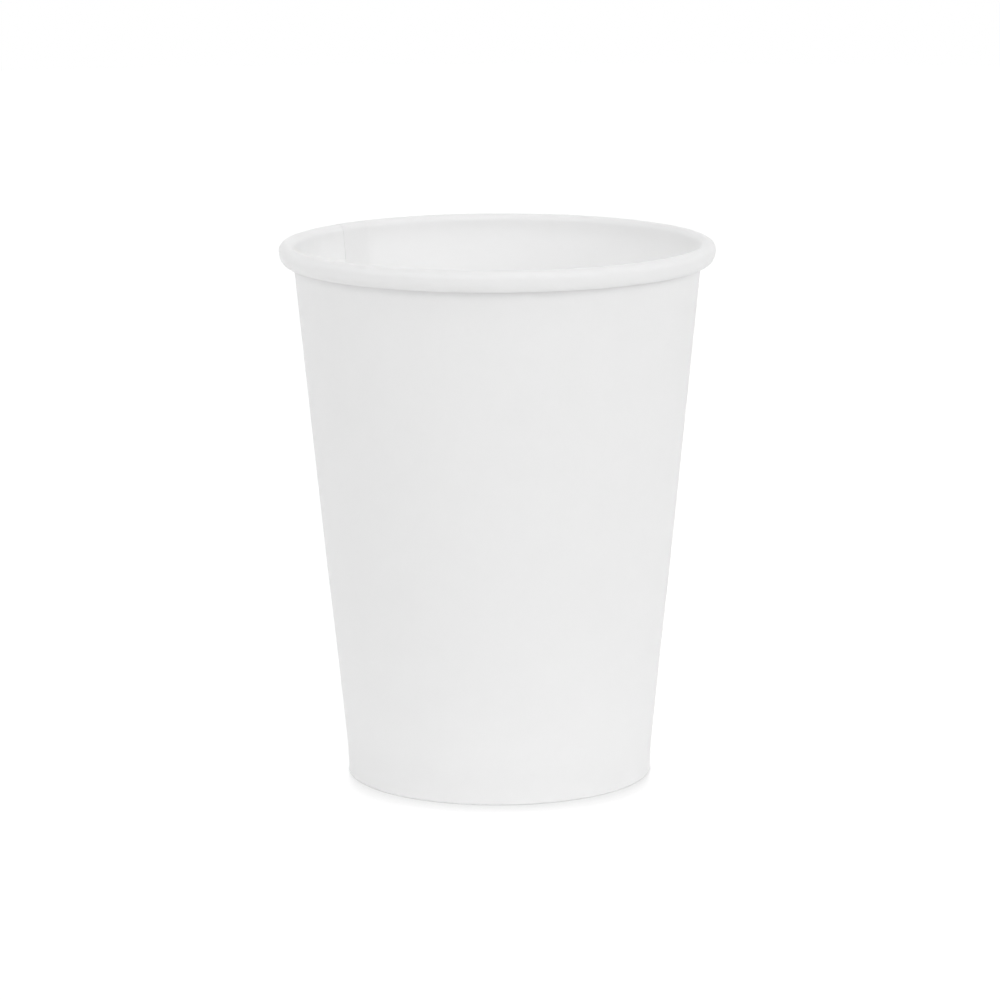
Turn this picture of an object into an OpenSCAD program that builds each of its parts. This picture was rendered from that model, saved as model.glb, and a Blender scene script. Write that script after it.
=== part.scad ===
// Paper cup for a hot drink. A fan-shaped blank of board is wrapped to a cone with a lap seam, rolled
// outward at the mouth, and folded in at the foot around the skirt of a separate floor.
//
// Each board is drawn as the path of its drink face in the plane [radius, height]. A section is that
// path with the board's thickness laid on the side away from the drink: outside the wall, inside the
// roll, and towards the middle on the hem.

/* [Cup] */
// Height of the whole cup
cup_h = 111.7; // [80:0.1:150]
// Diameter over the rolled rim
rim_d = 90; // [78:0.5:104]
// Diameter over the foot
foot_d = 62.9; // [54:0.1:72]
// Height of the floor's upper face above the table
floor_h = 8.5; // [7:0.1:14]

/* [Boards] */
// Thickness of the wall's board
wall_t = 0.4; // [0.3:0.01:0.45]
// Thickness of the floor's board
floor_t = 0.35; // [0.2:0.01:0.5]
// Gap between two boards that are sealed together
seal_gap = 0.02; // [0.01:0.005:0.05]

/* [Rolled rim] */
// Radius of the roll over its crest
crest_r = 1.57; // [1.4:0.01:1.8]
// Length of the roll's straight outer flank
flank_l = 0.75; // [0.1:0.05:2]
// Radius of the roll's underside
under_r = 2.4; // [2:0.1:5]
// Radius left open inside the last turn of the roll, where the lap is two boards thick
tuck_open = 0.1; // [0.02:0.01:0.2]
// Length of board left standing inside the roll
tuck_l = 0.9; // [0.2:0.05:1.2]
// Play between the tucked edge and the lap behind it
tuck_play = 0.05; // [0.02:0.01:0.2]

/* [Foot] */
// Radius inside the fold at the foot
fold_r = 0.05; // [0.02:0.01:0.12]
// Radius of the floor's edge, where it turns down into the skirt
corner_r = 1.2; // [0.7:0.1:2.5]
// Play between the hem's upper edge and the floor's edge above it
hem_play = 0.3; // [0.1:0.1:1.5]
// Play between the skirt's lower edge and the fold
skirt_play = 0.3; // [0.1:0.1:2]

/* [Lap seam] */
// Place of the inner board's edge, as an angle from +X
seam_az = 141; // [90:0.5:270]
// Width of the lap, as an angle about the cup's axis
lap_a = 10; // [5:0.5:14]
// Angle over which the outer board comes down beside the inner board's edge
ramp_a = 4.5; // [2:0.5:9]
// Height above the foot over which the lap is squeezed flat, so that the cup stands level
squeeze_h = 2.5; // [1:0.5:4]

/* [Hidden] */
$fn = 180;
board_white = [0.94, 0.94, 0.94];
floor_white = [0.90, 0.90, 0.90];

// Largest turn between two points of a bend, in the roll and in the tight fold at the foot
roll_step = 12;
fold_step = 24;
// Steps of the ramp, an even number, so that every stretch lies between two of the other kind
ramp_steps = 6;
// How far a stretch of board reaches into the next, as an angle
reach_a = 0.1;
// How much thinner a stretch is drawn than its neighbours, so that no two faces fall together
skin = 0.01;

function dir(a) = [cos(a), sin(a)];

// The wall is the line that touches the roll above and the fold below
roll_centre = [rim_d / 2 - crest_r, cup_h - crest_r];
outer_fold = [foot_d / 2 - fold_r - wall_t, fold_r + wall_t];
rise = roll_centre - outer_fold;
lean = atan2(rise.x, rise.y) - asin((crest_r + fold_r) / norm(rise));
up = dir(90 - lean);
out = dir(-lean);

// The fold is as wide as the skirt that it holds
inner_fold = outer_fold - [(floor_t + 2 * seal_gap - 2 * fold_r) / out.x, 0];
wall_foot = outer_fold + fold_r * out;
hem_foot = inner_fold - fold_r * out;
hem_h = floor_h - corner_r - hem_play;

// The roll's last turn ends beside the wall, clear of both boards of the lap
tuck_r = 2 * wall_t + tuck_open;
tuck_off = 2 * wall_t + tuck_play;
under_a = acos((tuck_off + tuck_r + under_r - 2 * crest_r) / (under_r - tuck_r));
under_centre = roll_centre - (under_r - crest_r) * out - flank_l * up;
tuck_centre = under_centre + (under_r - tuck_r) * dir(-lean - under_a);

// The floor's skirt lies against the wall
corner_centre = at_height(wall_foot - (seal_gap + corner_r) * out, floor_h - corner_r);

// Point at height z on the line through p that runs up the wall
function at_height(p, z) = p + up * (z - p.y) / up.y;

// Bend about c from angle a0 to a1, as pairs of a point and the direction away from the drink:
// away is 1 where the drink face is inside the bend and -1 where it is outside
function bend(c, r, a0, a1, away, step, first = 0) =
    let (count = ceil(abs(a1 - a0) / step))
    [for (k = [first : count]) let (a = a0 + (a1 - a0) * k / count) [c + r * dir(a), away * dir(a)]];

// Drink face of the wall, from the hem's edge round the fold, up the wall and round the roll
function wall_path(trim = 0) = concat(
    [[at_height(hem_foot, hem_h - trim), -out]],
    [[at_height(hem_foot, wall_t + squeeze_h), -out]],
    bend(inner_fold, fold_r, 180 - lean, 270, 1, fold_step),
    bend(outer_fold, fold_r, 270, 360 - lean, 1, fold_step),
    [[at_height(wall_foot, wall_t + squeeze_h), out]],
    bend(roll_centre, crest_r, 180 - lean, -lean, -1, roll_step),
    bend(under_centre, under_r, -lean, -lean - under_a, -1, roll_step),
    bend(tuck_centre, tuck_r, -lean - under_a, -lean - 180, -1, roll_step, first = 1),
    [[tuck_centre - tuck_r * out + (tuck_l - trim) * up, out]]
);

// Drink face of the floor, from its middle to the lower edge of its skirt
function floor_path() = concat(
    [[[0, floor_h], [0, -1]]],
    bend(corner_centre, corner_r, 90, -lean, -1, roll_step),
    [[at_height(corner_centre + corner_r * out, wall_t + skirt_play), -out]]
);

// Share of the lap's second thickness that is left at height z after the foot is pressed
function unsqueezed(z) = max(0, min(1, (z - wall_t) / squeeze_h));

// Outline of a board t thick along a path, with its drink face moved back by dip and its other
// face moved on by more, and drawn in all round by skin
function section(path, t, dip = 0, more = 0, skin = 0) = concat(
    [for (p = path) p[0] + p[1] * (skin + dip * unsqueezed(p[0].y))],
    [for (k = [len(path) - 1 : -1 : 0]) let (p = path[k])
        p[0] + p[1] * (t - skin + (dip + more) * unsqueezed(p[0].y))]
);

// Stretch of the board between two angles from the inner board's edge, reaching a little into the
// stretch that follows; one that is drawn thin lies inside its neighbours' faces
module stretch(from, to, dip = 0, more = 0, thin = false) {
    drawn_in = thin ? skin : 0;
    rotate_extrude(angle = to - from + reach_a, start = seam_az + from)
        polygon(section(wall_path(drawn_in), wall_t, dip = dip, more = more, skin = drawn_in));
}

// The lap, where the end of the board is sealed on behind its beginning
module lap() {
    stretch(-lap_a, 0, more = wall_t, thin = true);
}

// The board's way down from behind the inner edge to the wall's own face, in small steps
module ramp() {
    step_a = ramp_a / ramp_steps;
    for (k = [0 : ramp_steps - 1])
        stretch(k * step_a, (k + 1) * step_a, dip = wall_t * (1 - (k + 0.5) / ramp_steps), thin = k % 2 == 1);
}

// The rest of the way round, as a single board
module single_board() {
    stretch(ramp_a, 360 - lap_a);
}

// Blank of the wall: hem, fold, cone and rolled rim in one, closed by its lap seam
module side_wall() {
    color(board_white) {
        lap();
        ramp();
        single_board();
    }
}

// Floor with its skirt turned down, held between the wall and the hem
module bottom_disc() {
    color(floor_white)
        rotate_extrude()
            polygon(section(floor_path(), floor_t));
}

side_wall();
bottom_disc();
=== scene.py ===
import math
import bpy
import numpy as np
from mathutils import Matrix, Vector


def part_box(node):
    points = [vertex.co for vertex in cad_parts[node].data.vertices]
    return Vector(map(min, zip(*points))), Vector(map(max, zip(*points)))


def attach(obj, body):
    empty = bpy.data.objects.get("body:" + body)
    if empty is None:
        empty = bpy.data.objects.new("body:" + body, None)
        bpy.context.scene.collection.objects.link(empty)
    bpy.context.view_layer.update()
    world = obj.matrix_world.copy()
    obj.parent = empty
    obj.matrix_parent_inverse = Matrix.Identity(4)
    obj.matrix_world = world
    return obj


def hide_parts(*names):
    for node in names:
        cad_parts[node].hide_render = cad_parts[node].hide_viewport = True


# Paper coffee cup, in metres: a side wall wrapped from one fan-shaped blank of board, and a floor
# pressed into its foot. Both boards are drawn as the path of their drink face in the plane
# (radius, height), with the board's thickness laid on the side away from the drink.
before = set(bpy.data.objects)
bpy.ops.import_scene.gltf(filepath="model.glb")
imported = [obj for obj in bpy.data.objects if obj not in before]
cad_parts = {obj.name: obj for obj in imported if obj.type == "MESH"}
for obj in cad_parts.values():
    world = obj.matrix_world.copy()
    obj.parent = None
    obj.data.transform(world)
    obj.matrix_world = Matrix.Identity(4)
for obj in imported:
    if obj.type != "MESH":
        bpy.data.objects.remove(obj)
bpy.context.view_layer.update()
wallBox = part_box("side_wall")
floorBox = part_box("bottom_disc")
print("frame loaded:", ", ".join(sorted(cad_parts)))

# Sizes that both boards are drawn from; the rim, the height and the floor's level are the model's own
cupSize = {
    "rimRadius": min(-wallBox[0].x, -wallBox[0].y, wallBox[1].x, wallBox[1].y),
    "height": wallBox[1].z,
    "floorLevel": floorBox[1].z,
    "footRadius": 0.03145,
    "wallBoard": 0.0004,  # thickness of the wall's board
    "floorBoard": 0.00035,  # thickness of the floor's board
    "sealGap": 0.00002,  # between two boards that are sealed together
    "crestRadius": 0.00157,  # of the roll, over its crest
    "flank": 0.00075,  # straight outer side of the roll
    "underRadius": 0.0024,  # of the roll's underside
    "tuckOpen": 0.0001,  # radius left open inside the last turn of the roll
    "tuckLength": 0.0009,  # board left standing inside the roll
    "tuckPlay": 0.00005,  # between the lap and the board that stands inside the roll
    "foldRadius": 0.00005,  # inside the fold at the foot
    "cornerRadius": 0.0012,  # where the floor turns down into its skirt
    "hemPlay": 0.0003,  # between the hem's top edge and the floor's bend
    "skirtPlay": 0.0003,  # between the skirt's edge and the inside of the fold
}


def spoke(angle):
    return np.array([math.cos(angle), math.sin(angle)])


def fade(values):  # smooth step from 0 to 1, flat at both ends
    t = np.clip(values, 0.0, 1.0)
    return t * t * (3.0 - 2.0 * t)


def buildLines(size):
    # the wall is the line that touches the roll above and the fold below
    board, fold, crest = size["wallBoard"], size["foldRadius"], size["crestRadius"]
    rimCentre = np.array([size["rimRadius"] - crest, size["height"] - crest])
    outerFold = np.array([size["footRadius"] - fold - board, fold + board])
    rise = rimCentre - outerFold
    lean = math.atan2(rise[0], rise[1]) - math.asin((crest + fold) / np.linalg.norm(rise))
    up, out = spoke(math.pi / 2 - lean), spoke(-lean)
    slotWidth = size["floorBoard"] + 2 * size["sealGap"] - 2 * fold  # holds the skirt
    innerFold = outerFold - np.array([slotWidth / out[0], 0.0])
    tuckRadius = 2 * board + size["tuckOpen"]
    tuckOffset = 2 * board + size["tuckPlay"]
    underRadius = size["underRadius"]
    underTurn = math.acos((tuckOffset + tuckRadius + underRadius - 2 * crest) / (underRadius - tuckRadius))
    underCentre = rimCentre - (underRadius - crest) * out - size["flank"] * up
    tuckCentre = underCentre + (underRadius - tuckRadius) * spoke(-lean - underTurn)
    return {
        "lean": lean, "up": up, "out": out, "rimCentre": rimCentre,
        "outerFold": outerFold, "innerFold": innerFold,
        "wallFoot": outerFold + fold * out, "hemFoot": innerFold - fold * out,
        "hemTop": size["floorLevel"] - size["cornerRadius"] - size["hemPlay"],
        "underCentre": underCentre, "underTurn": underTurn,
        "tuckCentre": tuckCentre, "tuckRadius": tuckRadius,
    }


cupLines = buildLines(cupSize)
# The heated rollers that press the foot leave a slight waist above it, in both boards
waistLook = {
    "depth": 0.00015,
    "rise": (0.0025, 0.0055),  # heights between which it comes in
    "fall": (0.022, 0.048),  # heights between which it goes out again
}


def waistShift(heights, look):
    rise, fall = look["rise"], look["fall"]
    comeIn = fade((heights - rise[0]) / (rise[1] - rise[0]))
    goneOut = fade((heights - fall[0]) / (fall[1] - fall[0]))
    return -look["depth"] * (comeIn * (1 - goneOut))


def atHeight(point, height):  # on the line through point that runs up the wall
    up = cupLines["up"]
    return point + up * (height - point[1]) / up[1]


def straightRun(start, end, away, shares):
    return start + np.outer(shares, end - start), np.tile(away, (len(shares), 1))


def bendRun(centre, radius, fromAngle, toAngle, side, steps, first=0):
    # side is 1 where the drink face is inside the bend, and -1 where it is outside
    angles = np.linspace(fromAngle, toAngle, steps + 1)[first:]
    spokes = np.column_stack([np.cos(angles), np.sin(angles)])
    return centre + radius * spokes, side * spokes


def joinRuns(runs):
    points = np.concatenate([run[0] for run in runs])
    away = np.concatenate([run[1] for run in runs])
    steps = np.linalg.norm(np.diff(points, axis=0), axis=1)
    return {
        "points": points, "away": away,
        "along": np.concatenate([[0.0], np.cumsum(steps)]),
        "counts": [len(run[0]) for run in runs],
    }


def closeSections(drinkFace, otherFace):
    # a section is one closed loop: along the drink face and back along the other
    return np.concatenate([drinkFace, otherFace[:, ::-1]], axis=1)


def placeRound(radius, azimuth, height):
    alongX, alongY = np.cos(azimuth)[:, None], np.sin(azimuth)[:, None]
    return np.stack([radius * alongX, radius * alongY, height], axis=2)


def slowWave(azimuth, first, last, seed):
    # sum of whole waves round the cup, from -1 to 1, the same for both boards of the lap
    draw = np.random.default_rng(seed)
    total = np.zeros_like(azimuth)
    for waves in range(first, last + 1):
        total += np.cos(waves * azimuth + draw.uniform(0.0, 2 * math.pi)) * draw.uniform(0.5, 1.0)
    return total / (last - first + 1)


sharpBend = 50.0  # degrees; a sharper bend between two faces is shaded as an edge


def makePiece(name, corners, faces, kinds, blankAt, lapped):
    mesh = bpy.data.meshes.new(name)
    mesh.from_pydata(corners.tolist(), [], faces)
    for material in pieceMaterials:
        mesh.materials.append(material)
    mesh.polygons.foreach_set("material_index", np.asarray(kinds, np.int32))
    grain = mesh.attributes.new("blankAt", "FLOAT_VECTOR", "POINT")
    grain.data.foreach_set("vector", np.asarray(blankAt, np.float32).ravel())
    doubled = mesh.attributes.new("lapped", "FLOAT", "POINT")
    doubled.data.foreach_set("value", np.asarray(lapped, np.float32).ravel())
    mesh.shade_smooth()
    mesh.set_sharp_from_angle(angle=math.radians(sharpBend))
    mesh.update()
    piece = bpy.data.objects.new(name, mesh)
    bpy.context.scene.collection.objects.link(piece)
    return piece


def makeNode(tree, kind, inputs=None, **settings):
    node = tree.nodes.new(kind)
    for key, value in settings.items():
        setattr(node, key, value)
    for key, value in (inputs or {}).items():
        if isinstance(value, bpy.types.NodeSocket):
            tree.links.new(value, node.inputs[key])
        else:
            node.inputs[key].default_value = value
    return node


# Noise that draws the pulp's clouds and fibres, the same in every finish
pulpNoise = {
    "cloudDetail": 3.0,
    "cloudRoughness": 0.55,
    "fibreDetail": 4.0,
    "fibreRoughness": 0.6,
    "fibreWarp": 0.4,
    "range": (0.3, 0.7),  # values of the noise that give the darkest and the lightest board
}


def makeBoard(name, look):
    # paper board: pulp clouds and fibres laid along the flat blank, in colour, roughness and relief
    material = bpy.data.materials.new(name)
    material.use_nodes = True
    tree = material.node_tree
    shader = tree.nodes["Principled BSDF"]
    place = makeNode(tree, "ShaderNodeAttribute", attribute_name="blankAt").outputs["Vector"]
    clouds = makeNode(tree, "ShaderNodeTexNoise", {
        "Vector": place, "Scale": 1 / look["cloudSize"],
        "Detail": pulpNoise["cloudDetail"], "Roughness": pulpNoise["cloudRoughness"],
    }).outputs["Fac"]
    laid = makeNode(tree, "ShaderNodeMapping", {
        "Vector": place, "Scale": (1 / look["fibreWidth"], 1 / look["fibreLength"], 1 / look["fibreWidth"]),
    }, vector_type="POINT").outputs["Vector"]
    fibres = makeNode(tree, "ShaderNodeTexNoise", {
        "Vector": laid, "Scale": 1.0, "Detail": pulpNoise["fibreDetail"],
        "Roughness": pulpNoise["fibreRoughness"], "Distortion": pulpNoise["fibreWarp"],
    }).outputs["Fac"]
    both = makeNode(tree, "ShaderNodeMix", {
        "Factor": look["fibreShare"], "A": clouds, "B": fibres,
    }, data_type="FLOAT").outputs["Result"]
    darkest, lightest = pulpNoise["range"]
    spread = makeNode(tree, "ShaderNodeMapRange", {
        "Value": both, "From Min": darkest, "From Max": lightest, "To Min": 0.0, "To Max": 1.0,
    }).outputs["Result"]
    tone = makeNode(tree, "ShaderNodeMix", {"Factor": spread}, data_type="RGBA")
    tone.inputs["A"].default_value = (*look["shade"], 1.0)
    tone.inputs["B"].default_value = (*look["light"], 1.0)
    rough = makeNode(tree, "ShaderNodeMapRange", {
        "Value": spread, "To Min": look["smoothest"], "To Max": look["roughest"],
    }).outputs["Result"]
    relief = makeNode(tree, "ShaderNodeBump", {
        "Height": both, "Strength": 1.0, "Distance": look["relief"],
    }).outputs["Normal"]
    # the two boards of the lap let no light through, and lapPaintedShade darkens their colour: painted
    # shade for the light that the double board holds back
    doubled = makeNode(tree, "ShaderNodeAttribute", attribute_name="lapped").outputs["Fac"]
    paintedLapShade = makeNode(tree, "ShaderNodeMapRange", {
        "Value": doubled, "To Min": 1.0, "To Max": look["lapPaintedShade"],
    })
    seeping = makeNode(tree, "ShaderNodeMapRange", {
        "Value": doubled, "To Min": look["pulpShare"], "To Max": 0.0,
    })
    shown = makeNode(tree, "ShaderNodeVectorMath", {0: tone.outputs["Result"]}, operation="SCALE")
    tree.links.new(paintedLapShade.outputs["Result"], shown.inputs["Scale"])
    tree.links.new(shown.outputs["Vector"], shader.inputs["Base Color"])
    tree.links.new(rough, shader.inputs["Roughness"])
    tree.links.new(relief, shader.inputs["Normal"])
    shader.inputs["Specular IOR Level"].default_value = look["specular"]
    tree.links.new(seeping.outputs["Result"], shader.inputs["Subsurface Weight"])
    shader.inputs["Subsurface Radius"].default_value = (1.0, 1.0, 1.0)
    shader.inputs["Subsurface Scale"].default_value = look["pulpDepth"]
    shader.inputs["Coat Weight"].default_value = look["film"]
    shader.inputs["Coat Roughness"].default_value = look["filmRoughness"]
    shader.inputs["Coat IOR"].default_value = look["filmIndex"]
    return material


# Finishes of the board, in linear colour and metres
boardLooks = {
    "outside": {
        "light": (0.872, 0.872, 0.872), "shade": (0.858, 0.858, 0.858),
        "cloudSize": 0.006, "fibreWidth": 0.00012, "fibreLength": 0.0009, "fibreShare": 0.45,
        "smoothest": 0.58, "roughest": 0.72, "relief": 0.000012, "specular": 0.4,
        "film": 0.0, "filmRoughness": 0.4, "filmIndex": 1.5, "lapPaintedShade": 1.0,
        "pulpShare": 0.6, "pulpDepth": 0.0004,
    },
    "drinkFace": {
        # the drink face is paler than the outside: partly its own filmed board, partly painted light that
        # lifts the inside of the cup and the roll
        "light": (0.912, 0.912, 0.912), "shade": (0.902, 0.902, 0.902),
        "cloudSize": 0.005, "fibreWidth": 0.0002, "fibreLength": 0.0012, "fibreShare": 0.35,
        "smoothest": 0.50, "roughest": 0.60, "relief": 0.000010, "specular": 0.4,
        # lapPaintedShade below 1 darkens the lap's drink face as painted shade
        "film": 0.18, "filmRoughness": 0.36, "filmIndex": 1.5, "lapPaintedShade": 0.984,
        "pulpShare": 0.6, "pulpDepth": 0.0004,
    },
    "cutEdge": {
        "light": (0.885, 0.882, 0.876), "shade": (0.850, 0.846, 0.838),
        "cloudSize": 0.0008, "fibreWidth": 0.00005, "fibreLength": 0.0004, "fibreShare": 0.7,
        "smoothest": 0.85, "roughest": 0.95, "relief": 0.00002, "specular": 0.2,
        "film": 0.0, "filmRoughness": 0.4, "filmIndex": 1.5, "lapPaintedShade": 1.0,
        "pulpShare": 0.6, "pulpDepth": 0.0004,
    },
}
boardMaterials = {
    "outside": makeBoard("whiteBoardOutside", boardLooks["outside"]),
    "drinkFace": makeBoard("filmedDrinkFace", boardLooks["drinkFace"]),
    "cutEdge": makeBoard("cutBoardEdge", boardLooks["cutEdge"]),
}
faceKinds = {"drinkFace": 0, "outside": 1, "cutEdge": 2}
pieceMaterials = [boardMaterials[kind] for kind in sorted(faceKinds, key=faceKinds.get)]
print("board finishes made:", len(boardMaterials))

# Side wall: angles in degrees, lengths in metres
wallLook = {
    "seamAzimuth": 141.0,  # of the inner board's edge
    "lapAngle": 10.0,
    "rampAngle": 4.5,  # over which the outer board comes down beside the inner edge
    "squeezeHeight": 0.0025,  # above the foot, where the lap is pressed flat
    "rollLap": 0.45,  # share of the second board's thickness left on the pressed roll
    "rollBlend": (0.0080, 0.0035),  # below the rim, where the lap goes over to that share
    "leastEdge": 0.00003,  # thinnest that an edge is pressed
    "glueLine": 0.000008,  # between the two boards of the lap
    "cutSlope": 0.3,  # lean of the outer board's cut edge, round the cup
    "edgePress": 0.8,  # share of its thickness that the inner edge loses in the seam clamp
    "edgePressed": 0.12,  # share of the lap over which it loses it
    "endBlend": 0.15,  # share of the lap over which the inner board gets its full thickness back
    "stationStep": 0.75,  # between two sections of the single board
    "lapSteps": 14,
    "rampSteps": 10,
    "hemSteps": 12,
    "foldSteps": 5,
    "wallSteps": 26,
    "crestSteps": 20,
    "underSteps": 4,
    "tuckSteps": 9,
    "flare": 0.00012,  # how far the foot spreads
    "flareHeight": 0.0035,
    "wander": 0.00008,  # how far the wall strays from a true cone
    "wanderWaves": (2, 7, 3),  # fewest and most waves round the cup, and the seed
    "wanderFrom": (0.012, 0.042),  # heights between which it begins to stray
    "wanderBlend": (0.030, 0.006),  # below the rim, where it comes back
    "rimDip": 0.00007,  # how far the rim dips between its high places
    "rimWaves": (2, 11, 8),
    "rimBlend": (0.014, 0.004),  # below the rim, where the dips begin
    "rimInward": 0.3,  # share of a dip by which the rim comes in as well
    "crimps": 80,  # bars pressed into the hem
    "crimpDepth": 0.00009,
    "crimpEnds": (0.0012, 0.0060),
    "crimpFade": 0.0008,
}


def drawWallPath(size, lines, look):
    # from the hem's edge, round the fold, up the wall and round the roll to the tucked edge
    lean, up, out = lines["lean"], lines["up"], lines["out"]
    fold, underTurn = size["foldRadius"], lines["underTurn"]
    quarter = math.pi / 2
    rollFoot = lines["rimCentre"] - size["crestRadius"] * out
    tuckFoot = lines["tuckCentre"] - lines["tuckRadius"] * out
    wallShares = (1 - np.cos(np.linspace(0, math.pi, look["wallSteps"] + 2)[1:-1])) / 2
    runs = [
        straightRun(atHeight(lines["hemFoot"], lines["hemTop"]), lines["hemFoot"], -out,
                    np.linspace(0, 1, look["hemSteps"], endpoint=False)),
        bendRun(lines["innerFold"], fold, 2 * quarter - lean, 3 * quarter, 1, look["foldSteps"]),
        bendRun(lines["outerFold"], fold, 3 * quarter, 4 * quarter - lean, 1, look["foldSteps"]),
        straightRun(lines["wallFoot"], rollFoot, out, wallShares),
        bendRun(lines["rimCentre"], size["crestRadius"], 2 * quarter - lean, -lean, -1,
                look["crestSteps"]),
        bendRun(lines["underCentre"], size["underRadius"], -lean, -lean - underTurn, -1,
                look["underSteps"]),
        bendRun(lines["tuckCentre"], lines["tuckRadius"], -lean - underTurn, -lean - 2 * quarter, -1,
                look["tuckSteps"], first=1),
        straightRun(tuckFoot, tuckFoot + size["tuckLength"] * up, out, np.array([1.0])),
    ]
    return joinRuns(runs)


def blendBelow(heights, top, span):
    # 0 further below the top than the span's first value, 1 nearer than its second
    return fade((heights - (top - span[0])) / (span[0] - span[1]))


def turnStations(look):
    # sections go round from the inner edge, through the lap, and on past the start behind it
    lap, ramp = look["lapAngle"], look["rampAngle"]
    singleSteps = round((360 - lap - ramp) / look["stationStep"])
    return np.concatenate([
        np.linspace(0, lap, look["lapSteps"], endpoint=False),
        np.linspace(lap, 360 - ramp, singleSteps, endpoint=False),
        np.linspace(360 - ramp, 360, look["rampSteps"], endpoint=False),
        np.linspace(360, 360 + lap, look["lapSteps"] + 1),
    ])


def layBoards(size, look, turned, heights):
    # how far the drink face and the other face lie from the path, for each section
    board, gap = size["wallBoard"], look["glueLine"]
    lap, ramp = look["lapAngle"], look["rampAngle"]
    onRoll = blendBelow(heights, size["height"], look["rollBlend"])
    aboveFoot = np.clip((heights - board) / look["squeezeHeight"], 0, 1)
    unsqueezed = aboveFoot * (1 + (look["rollLap"] - 1) * onRoll)
    both = board * (1 + unsqueezed)  # thickness of the lap
    evenShare = (both - gap) / 2
    endShare = np.minimum(board, both - gap - look["leastEdge"])

    def pressed(intoLap):
        return look["edgePress"] * evenShare * (1 - fade(intoLap / look["edgePressed"]))

    def innerThickness(intoLap):
        nearEnd = fade((intoLap - (1 - look["endBlend"])) / look["endBlend"])
        return evenShare + (endShare - evenShare) * nearEnd - pressed(intoLap)

    drinkOffset = np.zeros((len(turned), len(heights)))
    otherOffset = np.full_like(drinkOffset, board)
    for row, angle in enumerate(turned):
        if angle < lap:
            otherOffset[row] = innerThickness(angle / lap)
        elif angle > 360:
            drinkOffset[row] = innerThickness((angle - 360) / lap) + gap
            otherOffset[row] = both - pressed((angle - 360) / lap)
        elif angle > 360 - ramp:
            down = fade((angle - 360 + ramp) / ramp)
            drinkOffset[row] = down * (innerThickness(0) + gap)
            otherOffset[row] = board + down * (both - pressed(0) - board)
    return drinkOffset, otherOffset


def pressBars(look, azimuth, heights, hemCount):
    # depth of the bars pressed into the hem's open face
    low, high = look["crimpEnds"]
    barShare = fade((heights - low) / look["crimpFade"]) * fade((high - heights) / look["crimpFade"])
    barShare[hemCount:] = 0.0
    bars = (1 - np.cos(look["crimps"] * azimuth)) / 2
    return look["crimpDepth"] * bars[:, None] * barShare[None, :]


def strayFromCone(size, look, azimuth, heights):
    # slow departures from a true cone, the same for both boards of the lap
    low, high = look["wanderFrom"]
    begun = fade((heights - low) / (high - low))
    onWall = begun * (1 - blendBelow(heights, size["height"], look["wanderBlend"]))
    stray = look["wander"] * slowWave(azimuth, *look["wanderWaves"])[:, None] * onWall[None, :]
    nearRim = blendBelow(heights, size["height"], look["rimBlend"])
    dip = look["rimDip"] * (1 - slowWave(azimuth, *look["rimWaves"])[:, None]) / 2 * nearRim[None, :]
    return stray, dip


def placeOnBlank(lines, path, turned, offsets):
    # place of each corner on the flat blank, for the grain of the board
    slant = lines["wallFoot"][0] / math.sin(lines["lean"])
    footIndex = sum(path["counts"][:3])
    reach = slant + path["along"] - path["along"][footIndex - 1]
    fan = np.radians(turned - 180) * math.sin(lines["lean"])
    flat = [np.outer(np.sin(fan), reach), np.outer(np.cos(fan), reach) - slant]
    return closeSections(*[np.stack([*flat, offset], axis=2) for offset in offsets])


def sweepWall(size, lines, look):
    path = drawWallPath(size, lines, look)
    across, heights = path["points"].T
    outward, upward = path["away"].T
    turned = turnStations(look)
    azimuth = np.radians(look["seamAzimuth"] - turned)
    drinkOffset, otherOffset = layBoards(size, look, turned, heights)
    hemCount = path["counts"][0]
    otherOffset -= pressBars(look, azimuth, heights, hemCount)
    stray, dip = strayFromCone(size, look, azimuth, heights)
    spread = look["flare"] * (1 - fade(heights / look["flareHeight"]))
    spread[:hemCount + look["foldSteps"] + 1] = 0.0
    spread += waistShift(heights, waistLook)

    def placeFace(offset, around):
        radius = across + outward * offset + stray + spread - look["rimInward"] * dip
        return placeRound(radius, around, heights + upward * offset - dip)

    # the die leaves the outer board's cut edge a little sloped
    otherAround = azimuth.copy()
    otherAround[-1] += math.radians(look["cutSlope"])
    loops = closeSections(placeFace(drinkOffset, azimuth), placeFace(otherOffset, otherAround))
    blankAt = placeOnBlank(lines, path, turned, (drinkOffset, otherOffset))
    inLap = (turned < look["lapAngle"]) | (turned >= 360)
    lapped = np.repeat(inLap[:, None], loops.shape[1], axis=1)
    return loops, blankAt, lapped


def skinLoops(loops, closed):
    # quads between neighbouring sections, with the kind of face that each one is
    sections, ring = loops.shape[:2]
    half = ring // 2
    faces, kinds = [], []
    for section in range(sections if closed else sections - 1):
        here, there = section * ring, (section + 1) % sections * ring
        for corner in range(ring):
            following = (corner + 1) % ring
            faces.append((here + corner, here + following, there + following, there + corner))
            if following in (0, half):
                kinds.append(faceKinds["cutEdge"])
            else:
                kinds.append(faceKinds["drinkFace"] if corner < half else faceKinds["outside"])
    return faces, kinds


def capLoops(ring, section, faces, kinds, turned):
    # closes an end of the board with a strip of quads across its thickness
    base = section * ring
    for corner in range(ring // 2 - 1):
        strip = (base + corner, base + ring - 1 - corner, base + ring - 2 - corner, base + corner + 1)
        faces.append(strip[::-1] if turned else strip)
        kinds.append(faceKinds["cutEdge"])


def makeWall(size, lines, look):
    loops, blankAt, lapped = sweepWall(size, lines, look)
    sections, ring = loops.shape[:2]
    faces, kinds = skinLoops(loops, closed=False)
    faces = [face[::-1] for face in faces]  # the sections go round clockwise
    capLoops(ring, 0, faces, kinds, turned=True)
    capLoops(ring, sections - 1, faces, kinds, turned=False)
    piece = makePiece("cupWall", loops.reshape(-1, 3), faces, kinds, blankAt.reshape(-1, 3), lapped)
    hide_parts("side_wall")
    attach(piece, "root")
    print("side wall wrapped:", len(faces), "faces")


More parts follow.
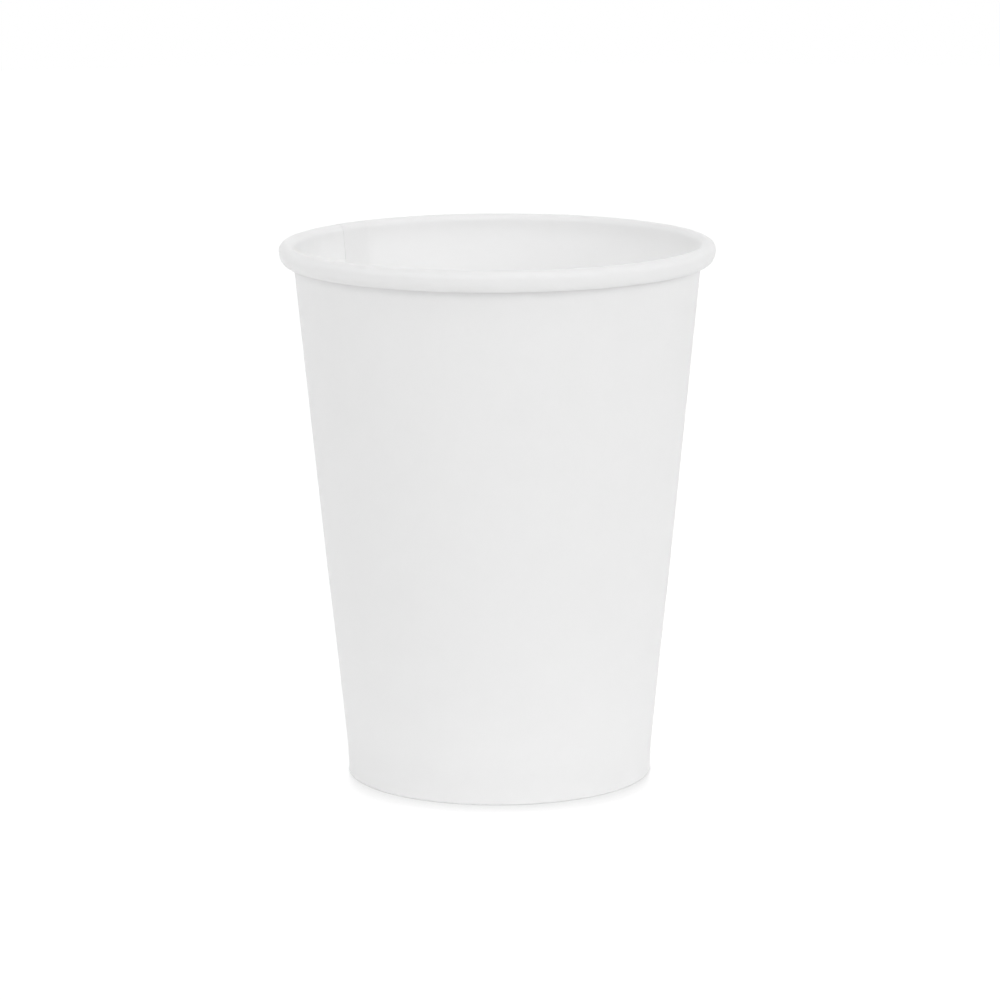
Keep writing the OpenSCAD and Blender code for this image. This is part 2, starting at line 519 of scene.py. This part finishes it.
# Floor: a disc of board with its edge turned down as a skirt
floorLook = {
    "stations": 480,
    "flatSteps": 26,
    "flatCrowding": 0.7,  # below 1 the rows of the flat disc stand closer towards its edge
    "cornerSteps": 8,
    "skirtSteps": 6,
    "sag": 0.00014,  # at the middle
    "puckers": 80,  # small folds where the flat disc's edge is turned down
    "puckerDepth": 0.000035,
    "puckerReach": 0.0022,
    "puckerTop": (0.0002, 0.0006),  # below the floor's level, where they begin
    "puckerEven": 0.6,  # share of their depth that is the same all round
    "puckerWaves": (3, 9, 21),  # fewest and most waves round the cup, and the seed
    "sheetWave": 0.00004,
    "sheetWaves": (2, 5, 31),
    "sheetFade": (0.012, 0.006),  # from the middle, and from the bend
}


def drawFloorPath(size, lines, look):
    # from near the middle, along the flat disc, round the bend and down the skirt
    out = lines["out"]
    cornerLevel = size["floorLevel"] - size["cornerRadius"]
    besideWall = lines["wallFoot"] - (size["sealGap"] + size["cornerRadius"]) * out
    cornerCentre = atHeight(besideWall, cornerLevel)
    skirtTop = cornerCentre + size["cornerRadius"] * out
    skirtEnd = atHeight(skirtTop, size["wallBoard"] + size["skirtPlay"])
    cornerTop = cornerCentre + np.array([0.0, size["cornerRadius"]])
    middle = np.array([0.0, size["floorLevel"]])
    flatShares = np.linspace(0, 1, look["flatSteps"] + 1)[1:-1] ** look["flatCrowding"]
    path = joinRuns([
        straightRun(middle, cornerTop, np.array([0.0, -1.0]), flatShares),
        bendRun(cornerCentre, size["cornerRadius"], math.pi / 2, -lines["lean"], -1,
                look["cornerSteps"]),
        straightRun(skirtTop, skirtEnd, -out, np.linspace(0, 1, look["skirtSteps"] + 1)[1:]),
    ])
    return path, cornerTop[0]


def puckerBend(size, lines, look, path, azimuth):
    # puckers die away into the flat disc, and end above the hem, which holds the skirt flat
    heights = path["points"][:, 1]
    bendStart = path["along"][path["counts"][0]]
    fromBend = (path["along"] - bendStart - size["cornerRadius"]) / look["puckerReach"]
    first, full = look["puckerTop"]
    belowFlat = fade((size["floorLevel"] - first - heights) / (full - first))
    aboveHem = fade((heights - lines["hemTop"]) / size["cornerRadius"])
    uneven = look["puckerEven"] + (1 - look["puckerEven"]) * slowWave(azimuth, *look["puckerWaves"])
    puckers = (1 - np.cos(look["puckers"] * azimuth)) / 2 * uneven
    return look["puckerDepth"] * np.outer(puckers, np.exp(-fromBend ** 2) * belowFlat * aboveHem)


def sinkFlat(look, radius, flatRadius, azimuth):
    # the disc sags a little at its middle, and lies in slow waves between there and the bend
    sunk = look["sag"] * (1 - (radius / flatRadius) ** 2).clip(0)
    ripple = look["sheetWave"] * (1 - slowWave(azimuth, *look["sheetWaves"])) / 2
    fromMiddle, fromBend = look["sheetFade"]
    inFlat = fade(radius / fromMiddle) * fade((flatRadius - radius) / fromBend)
    return sunk[None, :] + np.outer(ripple, inFlat)


def sweepFloor(size, lines, look):
    path, flatRadius = drawFloorPath(size, lines, look)
    radius, heights = path["points"].T
    outward, upward = path["away"].T
    azimuth = np.linspace(0, 2 * math.pi, look["stations"], endpoint=False)
    back = puckerBend(size, lines, look, path, azimuth)
    drop = sinkFlat(look, radius, flatRadius, azimuth)
    waist = waistShift(heights, waistLook) * np.minimum(1.0, radius / flatRadius)

    def placeFace(offset):
        return placeRound(radius + outward * offset + waist, azimuth, heights + upward * offset - drop)

    loops = closeSections(placeFace(back), placeFace(back + size["floorBoard"]))
    reach = path["along"] + radius[0]
    flat = [np.outer(np.cos(azimuth), reach), np.outer(np.sin(azimuth), reach)]
    depths = [np.full_like(flat[0], depth) for depth in (0.0, size["floorBoard"])]
    return loops, closeSections(*[np.stack([*flat, depth], axis=2) for depth in depths])


def closeMiddle(size, look, loops, blankAt):
    # the two faces meet at the middle in a point each, in place of the strip between their first rows
    sections, ring = loops.shape[:2]
    faces, kinds = skinLoops(loops, closed=True)
    kept = [number for number in range(len(faces)) if number % ring != ring - 1]
    faces = [faces[number] for number in kept]
    kinds = [kinds[number] for number in kept]
    topPoint = sections * ring
    lowPoint = topPoint + 1
    for section in range(sections):
        here, there = section * ring, (section + 1) % sections * ring
        faces.append((topPoint, here, there))
        kinds.append(faceKinds["drinkFace"])
        faces.append((lowPoint, there + ring - 1, here + ring - 1))
        kinds.append(faceKinds["outside"])
    level, board = size["floorLevel"] - look["sag"], size["floorBoard"]
    corners = np.concatenate([loops.reshape(-1, 3), [[0.0, 0.0, level], [0.0, 0.0, level - board]]])
    places = np.concatenate([blankAt.reshape(-1, 3), [[0.0, 0.0, 0.0], [0.0, 0.0, board]]])
    return corners, faces, kinds, places


def makeFloor(size, lines, look):
    loops, blankAt = sweepFloor(size, lines, look)
    corners, faces, kinds, places = closeMiddle(size, look, loops, blankAt)
    piece = makePiece("cupFloor", corners, faces, kinds, places, np.zeros(len(corners)))
    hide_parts("bottom_disc")
    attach(piece, "root")
    print("floor pressed in:", len(faces), "faces")


makeWall(cupSize, cupLines, wallLook)
makeFloor(cupSize, cupLines, floorLook)

# Stage: a white table top with a painted contact shade at the foot and a faint share of real shadow, soft
# light from all round, and the camera
stageLook = {
    "tableRadius": 1.5,
    "tableCorners": 96,
    "tableBelow": 0.00002,
    "tableBounce": 0.975,  # how pale the table is to the light that it sends back to the cup
    # the contact shade set below is painted shade: ambient occlusion darkens the table's glow near the foot
    "plainWhite": 0.88,  # share of the table's white that only the contact shade darkens
    "shadedWhite": 0.20,  # colour of the share that takes the lamps' shadows too
    "paintedShadeReach": (0.0006, 0.010),  # how far the contact shade spreads beside the foot, and before it
    "paintedShadeTurn": (0.10, 0.85),  # share of a direction that is fore and aft, over which the reach grows
    "paintedShadeDepth": 0.52,  # share of the plain white that the contact shade can take away
    "paintedShadeSamples": 3,
    "ringLevel": 1.43,  # soft light from all round, between two heights above the horizon
    "ringFoot": (4.0, 14.0),  # degrees over which it comes up
    "ringTop": (28.0, 64.0),  # degrees over which it goes down again
    "diffuseBounces": 12,  # light finds its way out of a deep white cup
}
lampLooks = {
    # soft far lights: azimuth from +X, height above the table and width across, in degrees
    "sideLamp": {"azimuth": -45.0, "elevation": 22.0, "spread": 30.0, "strength": 0.256},
    "highLamp": {"azimuth": -90.0, "elevation": 73.0, "spread": 40.0, "strength": 0.68},
}
cameraLook = {
    "distance": 0.940,
    "height": 0.24069,
    "down": 11.0405,  # degrees, as are the next two
    "turn": 0.0205,
    "tilt": -0.2421,
    "lens": 165.63,  # millimetres, on a 36 mm sensor
    "sensor": 36.0,
}


def isWhiteRay(tree):
    # 1 for rays that show the background: from the camera, or by way of gloss or glass
    rays = makeNode(tree, "ShaderNodeLightPath")
    glossy = makeNode(tree, "ShaderNodeMath", {
        0: rays.outputs["Is Camera Ray"], 1: rays.outputs["Is Glossy Ray"],
    }, operation="MAXIMUM").outputs[0]
    return makeNode(tree, "ShaderNodeMath", {
        0: glossy, 1: rays.outputs["Is Transmission Ray"],
    }, operation="MAXIMUM").outputs[0]


def makeTable(look):
    material = bpy.data.materials.new("whiteTableTop")
    material.use_nodes = True
    tree = material.node_tree
    tree.nodes.remove(tree.nodes["Principled BSDF"])
    bounce = makeNode(tree, "ShaderNodeBsdfDiffuse", {"Color": (*[look["tableBounce"]] * 3, 1.0)})
    shaded = makeNode(tree, "ShaderNodeBsdfDiffuse", {"Color": (*[look["shadedWhite"]] * 3, 1.0)})
    # painted contact shade: ambient occlusion darkens the table's glow near the foot, and a mask of
    # direction on the table makes it reach further before the foot and behind it than beside it
    place = makeNode(tree, "ShaderNodeTexCoord").outputs["Object"]
    direction = makeNode(tree, "ShaderNodeVectorMath", {0: place}, operation="NORMALIZE").outputs[0]
    foreAft = makeNode(tree, "ShaderNodeSeparateXYZ", {0: direction}).outputs["Y"]
    foreShare = makeNode(tree, "ShaderNodeMath", {0: foreAft}, operation="ABSOLUTE").outputs[0]
    reach = makeNode(tree, "ShaderNodeMapRange", {
        "Value": foreShare, "From Min": look["paintedShadeTurn"][0], "From Max": look["paintedShadeTurn"][1],
        "To Min": look["paintedShadeReach"][0], "To Max": look["paintedShadeReach"][1],
    }, interpolation_type="SMOOTHSTEP").outputs["Result"]
    near = makeNode(tree, "ShaderNodeAmbientOcclusion", {"Distance": reach},
                    samples=look["paintedShadeSamples"]).outputs["AO"]
    low, high = look["plainWhite"] * (1 - look["paintedShadeDepth"]), look["plainWhite"]
    contact = makeNode(tree, "ShaderNodeMapRange", {
        "Value": near, "To Min": low, "To Max": high,
    }).outputs["Result"]
    plain = makeNode(tree, "ShaderNodeEmission", {"Strength": contact})
    seen = makeNode(tree, "ShaderNodeAddShader", {0: shaded.outputs[0], 1: plain.outputs[0]})
    mixed = makeNode(tree, "ShaderNodeMixShader", {
        0: isWhiteRay(tree), 1: bounce.outputs[0], 2: seen.outputs[0],
    })
    tree.links.new(mixed.outputs[0], tree.nodes["Material Output"].inputs["Surface"])
    turns = np.linspace(0, 2 * math.pi, look["tableCorners"], endpoint=False)
    rim = [(*(look["tableRadius"] * spoke(turn)), -look["tableBelow"]) for turn in turns]
    mesh = bpy.data.meshes.new("tableTop")
    mesh.from_pydata(rim, [], [tuple(range(len(rim)))])
    mesh.materials.append(material)
    table = bpy.data.objects.new("tableTop", mesh)
    bpy.context.scene.collection.objects.link(table)


def makeWorld(look):
    world = bpy.data.worlds.new("softRoom")
    bpy.context.scene.world = world
    world.use_nodes = True
    tree = world.node_tree
    direction = makeNode(tree, "ShaderNodeTexCoord").outputs["Generated"]
    rise = makeNode(tree, "ShaderNodeSeparateXYZ", {0: direction}).outputs["Z"]
    edges = []
    for span in (look["ringFoot"], look["ringTop"]):
        low, high = np.sin(np.radians(span)).tolist()
        edges.append(makeNode(tree, "ShaderNodeMapRange", {
            "Value": rise, "From Min": low, "From Max": high,
        }, interpolation_type="SMOOTHSTEP").outputs["Result"])
    band = makeNode(tree, "ShaderNodeMath", {0: edges[0], 1: edges[1]}, operation="SUBTRACT").outputs[0]
    ring = makeNode(tree, "ShaderNodeMath", {
        0: band, 1: look["ringLevel"],
    }, operation="MULTIPLY").outputs[0]
    level = makeNode(tree, "ShaderNodeMix", {"Factor": isWhiteRay(tree), "A": ring, "B": 1.0},
                     data_type="FLOAT").outputs["Result"]
    sky = tree.nodes["Background"]
    sky.inputs["Color"].default_value = (1.0, 1.0, 1.0, 1.0)
    tree.links.new(level, sky.inputs["Strength"])


def makeLamp(name, look):
    light = bpy.data.lights.new(name, "SUN")
    light.energy = look["strength"]
    light.angle = math.radians(look["spread"])
    lamp = bpy.data.objects.new(name, light)
    turn = Matrix.Rotation(math.radians(look["azimuth"]) + math.pi / 2, 4, "Z")
    lamp.matrix_world = turn @ Matrix.Rotation(math.pi / 2 - math.radians(look["elevation"]), 4, "X")
    bpy.context.scene.collection.objects.link(lamp)


def makeCamera(look):
    data = bpy.data.cameras.new("frontCamera")
    data.lens = look["lens"]
    data.sensor_width = look["sensor"]
    camera = bpy.data.objects.new("frontCamera", data)
    turn = Matrix.Rotation(-math.radians(look["turn"]), 4, "Z")
    down = Matrix.Rotation(math.pi / 2 - math.radians(look["down"]), 4, "X")
    tilt = Matrix.Rotation(math.radians(look["tilt"]), 4, "Z")
    camera.matrix_world = Matrix.Translation((0.0, -look["distance"], look["height"])) @ turn @ down @ tilt
    bpy.context.scene.collection.objects.link(camera)
    bpy.context.scene.camera = camera


makeTable(stageLook)
makeWorld(stageLook)
for lampName, lampLook in lampLooks.items():
    makeLamp(lampName, lampLook)
makeCamera(cameraLook)
bpy.context.scene.view_settings.view_transform = "Standard"
bpy.context.scene.cycles.diffuse_bounces = stageLook["diffuseBounces"]
print("stage, lamps and camera set")
